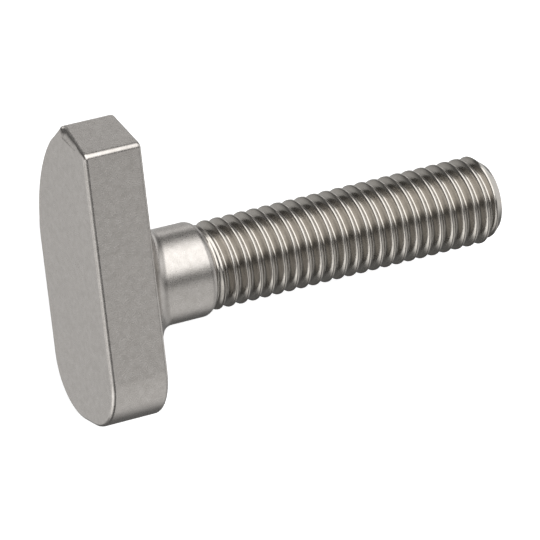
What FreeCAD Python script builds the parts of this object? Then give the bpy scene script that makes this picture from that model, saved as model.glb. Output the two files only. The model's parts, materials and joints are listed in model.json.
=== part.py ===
import FreeCAD
import Part
import math
import os

# T slot bolt, one forging: a long hammer head with one slanted end and one rounded end,
# a collar that flows into it, a short neck and an M10 shank. Lengths are in millimetres.
# The bolt is drawn along +X with the head's underside at X = 0, and is laid down at the end.

# Head
head_width = 15.0          # across the two long sides
head_thick = 7.0           # along the shank
long_reach = 17.7          # shank axis to the square corner of the slanted end
short_reach = 14.35        # shank axis to the rounded end
end_slant = 21.4           # degrees, the slanted end against a square one
end_round = 6.3            # both corners of the rounded end
flank_radius = 16.3        # long arc from the lower side up to the slanted end
flank_start = 5.2          # shank axis to the place where that arc begins
corner_round = 1.4         # square corner of the slanted end
apex_round = 0.6           # blunt corner between the arc and the slanted end
edge_round = 0.45          # rims of both broad faces

# Collar
collar_d = 10.7
collar_length = 7.3        # underside to the start of the rounded shoulder
shoulder_round = 1.1
root_fillet = 2.8          # from the collar into the underside, trimmed at the long rims

# Shank
neck_d = 9.2
neck_length = 0.6
thread_d = 10.0
thread_lead_in = 0.4       # slope from the neck up to the thread
shank_length = 44.2        # underside to tip
tip_d = 7.8
tip_chamfer = 1.35         # length of the chamfer at the tip

X_AXIS = FreeCAD.Vector(1, 0, 0)
Y_AXIS = FreeCAD.Vector(0, 1, 0)
ORIGIN = FreeCAD.Vector(0, 0, 0)


def line(a, b):
    return Part.LineSegment(a, b).toShape()


def arc(a, middle, b):
    return Part.Arc(a, middle, b).toShape()


def apex_point(half_width, centre_y, centre_z):
    """Where the slanted end, drawn from the square corner, meets the long arc."""
    slant = math.radians(end_slant)
    step_y = math.sin(slant)
    step_z = -math.cos(slant)
    from_y = long_reach - centre_y
    from_z = half_width - centre_z
    along = from_y * step_y + from_z * step_z
    offset_squared = from_y ** 2 + from_z ** 2 - along ** 2
    distance = math.sqrt(flank_radius ** 2 - offset_squared) - along
    return long_reach + distance * step_y, half_width + distance * step_z


def head_outline():
    """The broad face before its corners are rounded, in the plane of the outer face."""
    x = -head_thick
    half_width = head_width / 2
    centre_y = flank_start
    centre_z = flank_radius - half_width
    apex_y, apex_z = apex_point(half_width, centre_y, centre_z)

    start_angle = -math.pi / 2
    apex_angle = math.atan2(apex_z - centre_z, apex_y - centre_y)
    middle_angle = (start_angle + apex_angle) / 2

    square_corner = FreeCAD.Vector(x, long_reach, half_width)
    upper_end = FreeCAD.Vector(x, -short_reach, half_width)
    lower_end = FreeCAD.Vector(x, -short_reach, -half_width)
    arc_start = FreeCAD.Vector(x, flank_start, -half_width)
    arc_middle = FreeCAD.Vector(
        x,
        centre_y + flank_radius * math.cos(middle_angle),
        centre_z + flank_radius * math.sin(middle_angle),
    )
    apex = FreeCAD.Vector(x, apex_y, apex_z)

    return Part.Wire([
        line(square_corner, upper_end),
        line(upper_end, lower_end),
        line(lower_end, arc_start),
        arc(arc_start, arc_middle, apex),
        line(apex, square_corner),
    ])


def edges_along_x(solid, y, z):
    """Edges parallel to the shank that stand at the given place of the outline."""
    found = []
    for edge in solid.Edges:
        first = edge.Vertexes[0].Point
        last = edge.Vertexes[-1].Point
        runs_along = abs(first.x - last.x) > head_thick / 2
        if runs_along and math.hypot(first.y - y, first.z - z) < 0.01:
            found.append(edge)
    return found


def make_head():
    half_width = head_width / 2
    head = Part.Face(head_outline()).extrude(X_AXIS * head_thick)

    apex_y, apex_z = apex_point(half_width, flank_start, flank_radius - half_width)
    for radius, y, z in (
        (end_round, -short_reach, half_width),
        (end_round, -short_reach, -half_width),
        (corner_round, long_reach, half_width),
        (apex_round, apex_y, apex_z),
    ):
        head = head.makeFillet(radius, edges_along_x(head, y, z))

    rims = [
        edge for edge in head.Edges
        if abs(edge.Vertexes[0].Point.x - edge.Vertexes[-1].Point.x) < head_thick / 2
    ]
    return head.makeFillet(edge_round, rims)


def make_root():
    """The wide radius that carries the collar into the underside, between the long rims."""
    inside = -head_thick / 2
    collar_r = collar_d / 2
    reach = collar_r + root_fillet
    middle = root_fillet * (1 - math.sqrt(0.5))
    edges = [
        line(FreeCAD.Vector(inside, 0, 0), FreeCAD.Vector(inside, reach, 0)),
        line(FreeCAD.Vector(inside, reach, 0), FreeCAD.Vector(0, reach, 0)),
        arc(
            FreeCAD.Vector(0, reach, 0),
            FreeCAD.Vector(middle, collar_r + middle, 0),
            FreeCAD.Vector(root_fillet, collar_r, 0),
        ),
        line(FreeCAD.Vector(root_fillet, collar_r, 0), FreeCAD.Vector(root_fillet, 0, 0)),
        line(FreeCAD.Vector(root_fillet, 0, 0), FreeCAD.Vector(inside, 0, 0)),
    ]
    turned = Part.Face(Part.Wire(edges)).revolve(ORIGIN, X_AXIS, 360)

    half_flat = head_width / 2 - edge_round
    low_corner = FreeCAD.Vector(inside, -reach, -half_flat)
    between_rims = Part.makeBox(root_fillet - inside, 2 * reach, 2 * half_flat, low_corner)
    return turned.common(between_rims)


def make_shank():
    """Collar, rounded shoulder, neck, plain thread body and chamfered tip in one turning."""
    start = -head_thick / 2
    collar_r = collar_d / 2
    neck_r = neck_d / 2
    thread_r = thread_d / 2

    # The shoulder is an arc that starts level with the collar and ends where it meets the neck.
    arc_centre_r = collar_r - shoulder_round
    arc_end = math.asin((neck_r - arc_centre_r) / shoulder_round)
    arc_mid = (math.pi / 2 + arc_end) / 2

    def on_shoulder(angle):
        return FreeCAD.Vector(
            collar_length + shoulder_round * math.cos(angle),
            arc_centre_r + shoulder_round * math.sin(angle),
            0,
        )

    neck_start = on_shoulder(arc_end)
    neck_end = neck_start + X_AXIS * neck_length
    corners = [
        FreeCAD.Vector(start, 0, 0),
        FreeCAD.Vector(start, collar_r, 0),
        FreeCAD.Vector(collar_length, collar_r, 0),
        neck_start,
        neck_end,
        FreeCAD.Vector(neck_end.x + thread_lead_in, thread_r, 0),
        FreeCAD.Vector(shank_length - tip_chamfer, thread_r, 0),
        FreeCAD.Vector(shank_length, tip_d / 2, 0),
        FreeCAD.Vector(shank_length, 0, 0),
    ]
    edges = [line(corners[0], corners[1]), line(corners[1], corners[2])]
    edges.append(arc(corners[2], on_shoulder(arc_mid), corners[3]))
    edges += [line(a, b) for a, b in zip(corners[3:], corners[4:] + corners[:1])]
    return Part.Face(Part.Wire(edges)).revolve(ORIGIN, X_AXIS, 360)


def resting_tilt():
    """Degrees that the tip drops when the bolt lies on the head's long side and on the tip."""
    thread_end = shank_length - tip_chamfer
    rise = thread_d / 2 - head_width / 2 + edge_round
    run = thread_end + edge_round
    return math.degrees(math.asin(edge_round / math.hypot(rise, run)) - math.atan2(rise, run))


def make_bolt():
    return make_head().fuse([make_root(), make_shank()]).removeSplitter()


def lay_down(bolt):
    """Tips the bolt onto its rest and puts the origin under the middle of its box."""
    laid = bolt.copy()
    laid.rotate(ORIGIN, Y_AXIS, resting_tilt())
    box = laid.optimalBoundingBox(False)
    laid.translate(FreeCAD.Vector(-box.Center.x, -box.Center.y, -box.ZMin))
    return laid


os.makedirs("parts", exist_ok=True)
t_slot_bolt = lay_down(make_bolt())
t_slot_bolt.exportStep("parts/t_slot_bolt.step")
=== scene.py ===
import json
import math

import bmesh
import bpy
from mathutils import Matrix, Vector


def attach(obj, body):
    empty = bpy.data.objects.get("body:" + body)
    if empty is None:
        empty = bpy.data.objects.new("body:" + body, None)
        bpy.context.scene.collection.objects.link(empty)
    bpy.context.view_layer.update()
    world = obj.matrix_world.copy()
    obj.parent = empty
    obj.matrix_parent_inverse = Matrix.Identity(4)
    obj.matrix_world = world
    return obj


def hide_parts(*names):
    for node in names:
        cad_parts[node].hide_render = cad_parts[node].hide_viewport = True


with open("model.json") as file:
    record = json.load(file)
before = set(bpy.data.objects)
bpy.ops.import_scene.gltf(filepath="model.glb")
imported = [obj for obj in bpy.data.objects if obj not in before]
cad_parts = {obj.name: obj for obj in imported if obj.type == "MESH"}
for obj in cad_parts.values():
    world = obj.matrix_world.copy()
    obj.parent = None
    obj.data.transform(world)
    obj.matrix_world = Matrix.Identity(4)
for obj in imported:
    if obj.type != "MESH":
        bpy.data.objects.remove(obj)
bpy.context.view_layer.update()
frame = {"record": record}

MM = 0.001

# Head, in millimetres, in the bolt's own axes: x from the underside towards the tip,
# y along the head to its slanted end, z across the head to its square long side.
HEAD_WIDTH = 15.0
HEAD_THICK = 7.0
LONG_REACH = 17.7              # shank axis to the square corner of the slanted end
SHORT_REACH = 14.35            # shank axis to the rounded end
END_SLANT = math.radians(16.8)  # the slanted end against a square one
END_ROUND = 6.3                # both corners of the rounded end
FLANK_RADIUS = 17.0            # long arc from the lower side up to the slanted end
FLANK_START = 5.0              # shank axis to the place where that arc begins
CORNER_ROUND = 0.65            # square corner of the slanted end
APEX_ROUND = 0.6               # blunt corner between the arc and the slanted end
EDGE_ROUND = 0.45              # rims of both broad faces
OUTER_LEAN = 0.2               # how far the outer face comes in at the square long side

# The outer face's rim is wider at the blunt corner and along the slanted end.
APEX_SOFT = 4.3                # the face's own radius at the blunt corner
APEX_TURN = math.radians(2.6)  # the face's slanted edge stands this much squarer
APEX_BEVEL = math.radians(26)  # a bevel of this angle takes up the extra width
BEVEL_FULL = 0.3               # extra width from which the bevel has its full angle

# Collar, with the root that carries it into the underside
COLLAR_LENGTH = 7.3
SHOULDER_ROUND = 1.1
ROOT_ACROSS = 2.1              # radius of the root towards the long sides
ROOT_ALONG = 1.3               # radius of the root along the head, between collar and cone
ROOT_CONE = math.radians(60)   # slope of that cone against the shank
ROOT_END = 3.55                # underside to the place where the root along the head ends
ROOT_HALF_WIDTH = 7.03         # the root stops just inside the long rims

# Neck and tip
NECK_RADIUS = 4.6
SHANK_LENGTH = 44.2
TIP_RADIUS = 3.9
TIP_CHAMFER = 1.35

# Thread, M10 coarse
PITCH = 1.5
CREST_RADIUS = 4.96
ROOT_RADIUS = 4.1
CREST_WIDTH = 0.28
CREST_ROUND = 0.16
ROOT_ROUND = 0.17
THREAD_FLANK = math.radians(30)
THREAD_PHASE = 1.07            # place of a crest along the shank, on the +y side
RUN_OUT_START = 8.1
RUN_OUT_LENGTH = 1.3

# Steps of the mesh
AROUND = 160
RIM_STEPS = 8
END_STEPS = 24
FLANK_STEPS = 40
APEX_STEPS = 12
SLANT_STEPS = 8
CORNER_STEPS = 10
ROOT_STEPS = 20
CONE_SHARE = 0.4               # share of the root's steps that lie on its cone
SHOULDER_STEPS = 10
THREAD_STEPS = 3               # each half of a crest and of a groove
MERGE_DISTANCE = 1e-5
SLIVER_LENGTH = 1e-6
NECK_MARGIN = 0.01             # keeps the whole first turn in the thread's finish and its painted groove shade

# Finishes: darkest and palest tone, roughness, its spread, and the grain's height in metres
SATIN_STEEL = ((0.44, 0.416, 0.391), (0.512, 0.486, 0.461), 0.29, 0.04, 0.000009)
# The thread's tones are set darker than its rolled finish alone, as painted shade of its grooves
# spread over the whole thread.
ROLLED_STEEL_AND_GROOVE_SHADE = ((0.385, 0.362, 0.33), (0.425, 0.402, 0.37), 0.21, 0.03, 0.000004)
MOTTLE_NOISE = (1500.0, 4.0)   # scale and detail
GRAIN_NOISE = (7000.0, 3.0)
NOISE_LOW, NOISE_HIGH = 0.3, 0.7
NORMAL_WEIGHT = 90

# Floor, in metres, and its tones
FLOOR_HALF = 2.0
FLOOR_TONE = 0.75
FLOOR_GLOW = 0.66              # brings the floor to white, for the camera alone

# The studio as the steel sees it: soft panels, each given by its brightness, its span round
# the shank in degrees (from +y towards +z) and its span towards the tip as a sine. Each span
# runs from dark to full and from full to dark again.
STUDIO_BASE = 0.14
PANELS = {
    "key": (2.25, (-21, 23, 60, 84), (0.1, 0.3, 0.44, 0.70)),
    "key end": (0.8, (-20, 16, 62, 88), (0.58, 0.75, 0.95, 1.01)),
    "wide key": (2.6, (-14, 4, 78, 94), (-0.65, -0.4, 0.1, 0.3)),
    "fill": (0.85, (112, 128, 170, 212), (0.18, 0.32, 0.45, 0.58)),
    "side fill": (0.86, (96, 107, 112, 128), (0.2, 0.36, 0.47, 0.58)),
    "line fill": (0.7, (88, 100, 190, 215), (-0.98, -0.88, -0.64, -0.5)),
    "low line fill": (0.75, (118, 136, 190, 215), (-0.98, -0.88, -0.45, -0.25)),
    "far fill": (0.45, (96, 124, 200, 240), (0.45, 0.58, 0.97, 1.01)),
    "upper fill": (0.6, (-34, -20, -2, 12), (-0.3, -0.1, 0.12, 0.26)),
    "low reflector": (0.85, (-58, -50, -42, -34), (0.2, 0.3, 0.45, 0.55)),
}
# Round glows: brightness, direction, and the cosines where each starts and is full.
GLOWS = {
    "table": (0.56, (-0.62, -0.15, -0.77), 0.80, 0.93),
    "left wall": (0.5, (-0.95, -0.29, -0.25), 0.80, 0.90),
    "table below": (0.45, (0.3, 0.2, -0.93), 0.80, 0.93),
    "right wall": (0.80, (0.88, 0.0, -0.47), 0.90, 0.97),
    "far wall": (0.25, (1.0, 0.0, 0.0), 0.75, 0.92),
}

# Camera, at the photograph's viewing angle
CAMERA_BACK = Vector((-0.3444, 0.2944, 0.8915)).normalized()
CAMERA_UP = Vector((0.2094, 0.9497, -0.2327)).normalized()
CAMERA_RIGHT = CAMERA_UP.cross(CAMERA_BACK).normalized()
CAMERA_DISTANCE = 550.0        # millimetres
AIM_X = 12.858                 # this point of the shank axis is that far away, and
AIM_RIGHT, AIM_UP = -3.690, 1.270  # this far from the middle of the view, in millimetres
LENS_PIXELS = 4990.35
IMAGE_PIXELS = 540
SENSOR_WIDTH = 36.0
CLIP_START, CLIP_END = 0.05, 10.0

MOUNTS = {mount["name"]: mount for mount in frame["record"]["mounts"]}
BLANK_RADIUS = MOUNTS["thread"]["dims"]["r_mm"]
COLLAR_RADIUS = MOUNTS["collar"]["dims"]["r_mm"]
RING_WAYS = [
    (math.cos(2 * math.pi * k / AROUND), math.sin(2 * math.pi * k / AROUND))
    for k in range(AROUND)
]


def bolt_matrix():
    """From the bolt's own axes in millimetres to the CAD frame in metres."""
    thread = MOUNTS["thread"]
    seat = MOUNTS["head_seat"]
    along = Vector(thread["axis"]).normalized()
    across = Vector((0, 1, 0))
    up = along.cross(across)
    on_axis = Vector(thread["pos_m"])
    foot = on_axis + along * (Vector(seat["pos_m"]) - on_axis).dot(along)
    turn = Matrix((along, across, up)).transposed().to_4x4()
    return Matrix.Translation(foot) @ turn @ Matrix.Scale(MM, 4)


def arc_points(centre, radius, start, end, steps):
    """Points of an arc in the (z, y) plane, each with its outward direction."""
    made = []
    for k in range(steps + 1):
        angle = start + (end - start) * k / steps
        way = Vector((math.cos(angle), math.sin(angle)))
        made.append((centre + way * radius, way))
    return made


def head_outline(inset, slant, apex_round):
    """The outline drawn in by a given distance, as (point, outward direction), in the (z, y)
    plane. The slant and the blunt corner's radius can differ between the edges of a rim."""
    half = HEAD_WIDTH / 2 - inset
    slope = Vector((-math.cos(slant), math.sin(slant)))
    outward = Vector((math.sin(slant), math.cos(slant)))
    full_outward = Vector((math.sin(END_SLANT), math.cos(END_SLANT)))
    full_corner = Vector((HEAD_WIDTH / 2, LONG_REACH))
    corner_y = (full_corner.dot(full_outward) - inset - half * full_outward.x) / full_outward.y
    corner = Vector((half, corner_y))
    flank_radius = FLANK_RADIUS - inset
    flank_centre = Vector((FLANK_RADIUS - HEAD_WIDTH / 2, FLANK_START))

    # The blunt corner's circle touches the long arc and the slanted end.
    base = corner - outward * apex_round - flank_centre
    along = base.dot(slope)
    reach = flank_radius - apex_round
    apex_centre = flank_centre + base + slope * (
        math.sqrt(along * along - base.length_squared + reach * reach) - along
    )
    to_apex = apex_centre - flank_centre
    apex_angle = math.atan2(to_apex.y, to_apex.x)

    end_angle = math.pi / 2 - slant
    corner_round = CORNER_ROUND - inset
    corner_drop = corner_round * math.tan(end_angle / 2)
    corner_centre = Vector((half - corner_round, corner.y - corner_drop))
    end_round = END_ROUND - inset
    lower_y = END_ROUND - SHORT_REACH
    ends = HEAD_WIDTH / 2 - END_ROUND

    right, down, left = 0, -math.pi / 2, -math.pi
    points = arc_points(Vector((ends, lower_y)), end_round, right, down, END_STEPS)
    points += arc_points(Vector((-ends, lower_y)), end_round, down, left, END_STEPS)
    points += arc_points(flank_centre, flank_radius, math.pi, apex_angle, FLANK_STEPS)
    apex = arc_points(apex_centre, apex_round, apex_angle, end_angle, APEX_STEPS)
    square = arc_points(corner_centre, corner_round, end_angle, right, CORNER_STEPS)
    slanted = [
        (apex[-1][0].lerp(square[0][0], k / SLANT_STEPS), outward)
        for k in range(1, SLANT_STEPS)
    ]
    return points + apex + slanted + square


def rim_rows(face, edge, start, sign):
    """Loops from the outline of a broad face at x = start, round its rim, to the edge outline.
    The sign is the way into the head. A bevel takes up what is wider than the rim's radius."""
    rows = [[(start, *point.yx) for point in face]]
    for k in range(RIM_STEPS + 1):
        row = []
        for a, b in zip(face, edge):
            inward = (a - b).normalized()
            extra = max((a - b).length - EDGE_ROUND, 0)
            bevel = APEX_BEVEL * min(extra / BEVEL_FULL, 1)
            drop = ((extra + EDGE_ROUND * math.sin(bevel)) * math.tan(bevel)
                    - EDGE_ROUND * (1 - math.cos(bevel)))
            turn = bevel + (math.pi / 2 - bevel) * k / RIM_STEPS
            point = b + inward * EDGE_ROUND * (1 - math.sin(turn))
            depth = drop + EDGE_ROUND * (1 - math.cos(turn))
            row.append((start + sign * depth, *point.yx))
        rows.append(row)
    return rows


def head_rows():
    """Loops of the head from its outer face to its underside."""
    full = head_outline(0, END_SLANT, APEX_ROUND)
    edge = [point for point, way in full]
    inner = [point - way * EDGE_ROUND for point, way in full]
    drawn_in = head_outline(EDGE_ROUND, END_SLANT - APEX_TURN, APEX_SOFT)
    outer = [point for point, way in drawn_in]
    leaning = [
        [(x + OUTER_LEAN * (z / HEAD_WIDTH + 0.5), y, z) for x, y, z in row]
        for row in rim_rows(outer, edge, -HEAD_THICK, 1)
    ]
    return leaning + rim_rows(inner, edge, 0, -1)[::-1]


def root_profiles():
    """(x, radius) from the underside to the collar, towards the long sides and along the head."""
    across, along = [], []
    cone_x = ROOT_END - ROOT_ALONG * math.sin(ROOT_CONE)
    cone_rise = ROOT_ALONG * (1 - math.cos(ROOT_CONE))
    for k in range(ROOT_STEPS + 1):
        share = k / ROOT_STEPS
        turn = math.pi / 2 * share
        across.append((ROOT_ACROSS * (1 - math.cos(turn)),
                       COLLAR_RADIUS + ROOT_ACROSS * (1 - math.sin(turn))))
        on_cone = min(share / CONE_SHARE, 1)
        turn = ROOT_CONE * (1 - max(share - CONE_SHARE, 0) / (1 - CONE_SHARE))
        if on_cone < 1:
            x = cone_x * on_cone
            along.append((x, COLLAR_RADIUS + cone_rise + (cone_x - x) * math.tan(ROOT_CONE)))
        else:
            along.append((ROOT_END - ROOT_ALONG * math.sin(turn),
                          COLLAR_RADIUS + ROOT_ALONG * (1 - math.cos(turn))))
    return across, along


def root_rings():
    """The root under the head, blended between its two profiles and held inside the rims."""
    rings = []
    for (x_across, r_across), (x_along, r_along) in zip(*root_profiles()):
        ring = []
        for c, s in RING_WAYS:
            x = x_across + (x_along - x_across) * c * c
            radius = r_across + (r_along - r_across) * c * c
            if radius * abs(s) > ROOT_HALF_WIDTH:
                radius = ROOT_HALF_WIDTH / abs(s)
            ring.append((x, radius * c, radius * s))
        rings.append(ring)
    return rings


def shoulder_rings():
    """From the end of the collar round its shoulder to the neck."""
    centre_r = COLLAR_RADIUS - SHOULDER_ROUND
    end = math.asin((NECK_RADIUS - centre_r) / SHOULDER_ROUND)
    rings = []
    for k in range(SHOULDER_STEPS + 1):
        turn = math.pi / 2 + (end - math.pi / 2) * k / SHOULDER_STEPS
        x = COLLAR_LENGTH + SHOULDER_ROUND * math.cos(turn)
        radius = centre_r + SHOULDER_ROUND * math.sin(turn)
        rings.append([(x, radius * c, radius * s) for c, s in RING_WAYS])
    return rings


def thread_profile():
    """One pitch as (offset from the crest, radius): rounded crest, flanks, rounded groove."""
    turn = math.pi / 2 - THREAD_FLANK
    crest_end = CREST_WIDTH / 2 - CREST_ROUND * math.tan(turn / 2)
    root_corner = CREST_WIDTH / 2 + (CREST_RADIUS - ROOT_RADIUS) * math.tan(THREAD_FLANK)
    root_start = root_corner + ROOT_ROUND * math.tan(turn / 2)
    half = [(0, CREST_RADIUS)]
    low = []
    for k in range(THREAD_STEPS + 1):
        angle = turn * k / THREAD_STEPS
        half.append((crest_end + CREST_ROUND * math.sin(angle),
                     CREST_RADIUS - CREST_ROUND * (1 - math.cos(angle))))
        angle = turn * (1 - k / THREAD_STEPS)
        low.append((root_start - ROOT_ROUND * math.sin(angle),
                    ROOT_RADIUS + ROOT_ROUND * (1 - math.cos(angle))))
    half.append(((half[-1][0] + low[0][0]) / 2, (half[-1][1] + low[0][1]) / 2))
    half += low
    back = [(PITCH - offset, radius) for offset, radius in reversed(half[1:])]
    return half + back


def tip_limit(x):
    """Radius of the chamfered blank near the tip."""
    start = SHANK_LENGTH - TIP_CHAMFER
    if x <= start:
        return BLANK_RADIUS
    return BLANK_RADIUS + (TIP_RADIUS - BLANK_RADIUS) * (x - start) / TIP_CHAMFER


def threaded_radius(x, full):
    """The profile's radius, grown out of the neck and cut off by the tip's chamfer."""
    share = min(max((x - RUN_OUT_START) / RUN_OUT_LENGTH, 0), 1)
    share = share * share * (3 - 2 * share)
    return min(NECK_RADIUS + (full - NECK_RADIUS) * share, tip_limit(x))


def thread_grid(start_x):
    """Rows that follow the helix, held between the neck and the tip."""
    profile = thread_profile()
    first = math.floor((start_x - PITCH - THREAD_PHASE) / PITCH)
    last = math.ceil((SHANK_LENGTH - THREAD_PHASE) / PITCH)
    rows = []
    for n in range(first, last + 1):
        for offset, full in profile:
            row = []
            for k, (c, s) in enumerate(RING_WAYS):
                x = THREAD_PHASE + PITCH * (n + k / AROUND) + offset
                x = min(max(x, start_x), SHANK_LENGTH)
                # The first ring is the neck's own, so that the two merge.
                radius = threaded_radius(x, full) if x > start_x else NECK_RADIUS
                row.append((x, radius * c, radius * s))
            rows.append(row)
    return rows, len(profile)


def bridge(bm, lower, upper):
    count = len(lower)
    for k in range(count):
        n = (k + 1) % count
        bm.faces.new((lower[k], lower[n], upper[n], upper[k]))


def loop_edges(bm, loop):
    return [bm.edges.get((a, b)) for a, b in zip(loop, loop[1:] + loop[:1])]


def build_bolt():
    """The whole bolt as one closed mesh, in its own axes, with the thread's finish and painted
    groove shade as slot 1.
    """
    bm = bmesh.new()

    def add(rows):
        return [[bm.verts.new(p) for p in row] for row in rows]

    head = add(head_rows())
    for lower, upper in zip(head, head[1:]):
        bridge(bm, lower, upper)
    bm.faces.new(head[0])

    rings = root_rings() + shoulder_rings()
    turned = add(rings)
    for lower, upper in zip(turned, turned[1:]):
        bridge(bm, lower, upper)
    bmesh.ops.triangle_fill(
        bm, use_beauty=True, edges=loop_edges(bm, head[-1]) + loop_edges(bm, turned[0]))

    neck_x = rings[-1][0][0]
    made, per_pitch = thread_grid(neck_x)
    grid = add(made)
    for j in range(len(grid) - 1):
        for k in range(AROUND - 1):
            bm.faces.new((grid[j][k], grid[j][k + 1], grid[j + 1][k + 1], grid[j + 1][k]))
        # Once round, a row joins the row that is one pitch further on.
        if j + 1 + per_pitch < len(grid):
            bm.faces.new((grid[j][-1], grid[j + per_pitch][0],
                          grid[j + 1 + per_pitch][0], grid[j + 1][-1]))
    bmesh.ops.remove_doubles(bm, verts=bm.verts, dist=MERGE_DISTANCE)
    bmesh.ops.dissolve_degenerate(bm, edges=bm.edges, dist=SLIVER_LENGTH)

    # The one hole left is the end of the tip.
    bmesh.ops.holes_fill(bm, edges=[e for e in bm.edges if e.is_boundary], sides=0)
    bmesh.ops.recalc_face_normals(bm, faces=bm.faces)
    for face in bm.faces:
        on_thread = min(v.co.x for v in face.verts) > neck_x - NECK_MARGIN
        face.material_index = 1 if on_thread else 0
    return bm


def new_piece(name, bm):
    mesh = bpy.data.meshes.new(name)
    bm.to_mesh(mesh)
    bm.free()
    mesh.transform(bolt_matrix())
    mesh.shade_smooth()
    piece = bpy.data.objects.new(name, mesh)
    bpy.context.collection.objects.link(piece)
    return piece


def steel(name, dark, pale, roughness, rough_spread, grain_height):
    """Bare steel: fine grain in the tone, the roughness and the relief."""
    mat = bpy.data.materials.new(name)
    mat.use_nodes = True
    nodes, links = mat.node_tree.nodes, mat.node_tree.links
    shader = nodes["Principled BSDF"]
    shader.inputs["Metallic"].default_value = 1.0
    coords = nodes.new("ShaderNodeTexCoord")

    def noise(scale, detail):
        made = nodes.new("ShaderNodeTexNoise")
        made.inputs["Scale"].default_value = scale
        made.inputs["Detail"].default_value = detail
        links.new(coords.outputs["Object"], made.inputs["Vector"])
        return made.outputs["Fac"]

    mottle = noise(*MOTTLE_NOISE)
    grain = noise(*GRAIN_NOISE)

    tone = nodes.new("ShaderNodeValToRGB")
    ends = zip(tone.color_ramp.elements, (NOISE_LOW, NOISE_HIGH), (dark, pale))
    for element, position, colour in ends:
        element.position = position
        element.color = (*colour, 1)
    links.new(mottle, tone.inputs["Fac"])
    links.new(tone.outputs["Color"], shader.inputs["Base Color"])

    spread = nodes.new("ShaderNodeMapRange")
    spread.inputs["From Min"].default_value = NOISE_LOW
    spread.inputs["From Max"].default_value = NOISE_HIGH
    spread.inputs["To Min"].default_value = roughness - rough_spread
    spread.inputs["To Max"].default_value = roughness + rough_spread
    links.new(grain, spread.inputs["Value"])
    links.new(spread.outputs["Result"], shader.inputs["Roughness"])

    bump = nodes.new("ShaderNodeBump")
    bump.inputs["Strength"].default_value = 1.0
    bump.inputs["Distance"].default_value = grain_height
    links.new(grain, bump.inputs["Height"])
    links.new(bump.outputs["Normal"], shader.inputs["Normal"])
    return mat


def make_floor():
    """A pale floor that takes the shadow; the steel mirrors the studio below it instead."""
    bm = bmesh.new()
    corners = [(-FLOOR_HALF, -FLOOR_HALF, 0), (FLOOR_HALF, -FLOOR_HALF, 0),
               (FLOOR_HALF, FLOOR_HALF, 0), (-FLOOR_HALF, FLOOR_HALF, 0)]
    bm.faces.new([bm.verts.new(c) for c in corners])
    mesh = bpy.data.meshes.new("floor")
    bm.to_mesh(mesh)
    bm.free()
    floor = bpy.data.objects.new("floor", mesh)
    bpy.context.collection.objects.link(floor)

    mat = bpy.data.materials.new("floor")
    mat.use_nodes = True
    nodes, links = mat.node_tree.nodes, mat.node_tree.links
    nodes.clear()
    out = nodes.new("ShaderNodeOutputMaterial")
    diffuse = nodes.new("ShaderNodeBsdfDiffuse")
    diffuse.inputs["Color"].default_value = (FLOOR_TONE, FLOOR_TONE, FLOOR_TONE, 1)
    glow = nodes.new("ShaderNodeEmission")
    path = nodes.new("ShaderNodeLightPath")
    scale = nodes.new("ShaderNodeMath")
    scale.operation = "MULTIPLY"
    scale.inputs[1].default_value = FLOOR_GLOW
    lit = nodes.new("ShaderNodeAddShader")
    clear = nodes.new("ShaderNodeBsdfTransparent")
    passed = nodes.new("ShaderNodeMath")
    passed.operation = "MAXIMUM"
    mix = nodes.new("ShaderNodeMixShader")
    links.new(path.outputs["Is Camera Ray"], scale.inputs[0])
    links.new(scale.outputs[0], glow.inputs["Strength"])
    links.new(diffuse.outputs[0], lit.inputs[0])
    links.new(glow.outputs[0], lit.inputs[1])
    links.new(path.outputs["Is Glossy Ray"], passed.inputs[0])
    links.new(path.outputs["Is Shadow Ray"], passed.inputs[1])
    links.new(passed.outputs[0], mix.inputs["Fac"])
    links.new(lit.outputs[0], mix.inputs[1])
    links.new(clear.outputs[0], mix.inputs[2])
    links.new(mix.outputs[0], out.inputs["Surface"])
    mesh.materials.append(mat)


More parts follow.
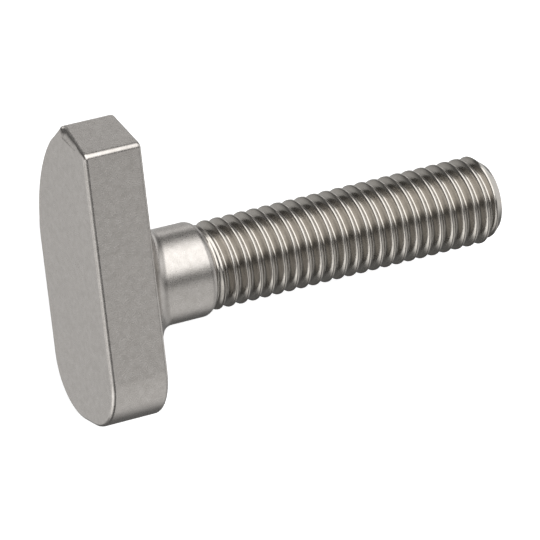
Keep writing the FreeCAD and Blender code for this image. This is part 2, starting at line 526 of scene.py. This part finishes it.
def make_world():
    """The studio's panels and glows as a world, which the camera itself sees as plain white."""
    world = bpy.data.worlds.new("studio")
    bpy.context.scene.world = world
    world.use_nodes = True
    nodes, links = world.node_tree.nodes, world.node_tree.links
    background = nodes["Background"]
    coords = nodes.new("ShaderNodeTexCoord")
    split = nodes.new("ShaderNodeSeparateXYZ")
    links.new(coords.outputs["Generated"], split.inputs[0])

    def math_node(operation, a, b):
        made = nodes.new("ShaderNodeMath")
        made.operation = operation
        for socket, value in zip(made.inputs, (a, b)):
            if isinstance(value, (int, float)):
                socket.default_value = value
            else:
                links.new(value, socket)
        return made.outputs[0]

    def ramp(value, dark, full):
        made = nodes.new("ShaderNodeMapRange")
        made.interpolation_type = "SMOOTHSTEP"
        made.inputs["From Min"].default_value = min(dark, full)
        made.inputs["From Max"].default_value = max(dark, full)
        made.inputs["To Min"].default_value = 0.0 if dark < full else 1.0
        made.inputs["To Max"].default_value = 1.0 if dark < full else 0.0
        links.new(value, made.inputs["Value"])
        return made.outputs["Result"]

    def towards(way):
        made = nodes.new("ShaderNodeVectorMath")
        made.operation = "DOT_PRODUCT"
        made.inputs[1].default_value = Vector(way).normalized()
        links.new(coords.outputs["Generated"], made.inputs[0])
        return made.outputs["Value"]

    def span(value, limits):
        rise = ramp(value, limits[0], limits[1])
        fall = ramp(value, limits[3], limits[2])
        return math_node("MULTIPLY", rise, fall)

    total = STUDIO_BASE
    for brightness, turns, leans in PANELS.values():
        middle = math.radians((turns[0] + turns[3]) / 2)
        turn = math_node("ARCTAN2", towards((0, -math.sin(middle), math.cos(middle))),
                         towards((0, math.cos(middle), math.sin(middle))))
        limits = [math.radians(t) - middle for t in turns]
        lit = math_node("MULTIPLY", span(turn, limits), span(split.outputs["X"], leans))
        total = math_node("ADD", math_node("MULTIPLY", lit, brightness), total)
    for brightness, way, start, full in GLOWS.values():
        lit = ramp(towards(way), start, full)
        total = math_node("ADD", math_node("MULTIPLY", lit, brightness), total)

    path = nodes.new("ShaderNodeLightPath")
    mix = nodes.new("ShaderNodeMix")
    mix.data_type = "RGBA"
    mix.inputs["B"].default_value = (1, 1, 1, 1)
    links.new(total, mix.inputs["A"])
    links.new(path.outputs["Is Camera Ray"], mix.inputs["Factor"])
    links.new(mix.outputs["Result"], background.inputs["Color"])


def make_camera():
    data = bpy.data.cameras.new("camera")
    camera = bpy.data.objects.new("camera", data)
    bpy.context.collection.objects.link(camera)
    data.sensor_width = SENSOR_WIDTH
    data.lens = LENS_PIXELS / IMAGE_PIXELS * data.sensor_width
    data.clip_start, data.clip_end = CLIP_START, CLIP_END
    up = CAMERA_BACK.cross(CAMERA_RIGHT)
    turn = Matrix((CAMERA_RIGHT, up, CAMERA_BACK)).transposed().to_4x4()
    aim = bolt_matrix() @ Vector((AIM_X, 0, 0))
    offset = (CAMERA_RIGHT * AIM_RIGHT * MM + up * AIM_UP * MM
              - CAMERA_BACK * CAMERA_DISTANCE * MM)
    camera.matrix_world = Matrix.Translation(aim - offset) @ turn
    bpy.context.scene.camera = camera


bolt = new_piece("bolt", build_bolt())
weighted = bolt.modifiers.new("even faces", "WEIGHTED_NORMAL")
weighted.mode = "FACE_AREA"
weighted.weight = NORMAL_WEIGHT
weighted.keep_sharp = True
bolt.data.materials.append(steel("satin steel", *SATIN_STEEL))
bolt.data.materials.append(steel("rolled steel and painted groove shade", *ROLLED_STEEL_AND_GROOVE_SHADE))
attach(bolt, "root")
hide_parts("t_slot_bolt")

make_floor()
make_world()
make_camera()
bpy.context.scene.view_settings.view_transform = "Standard"
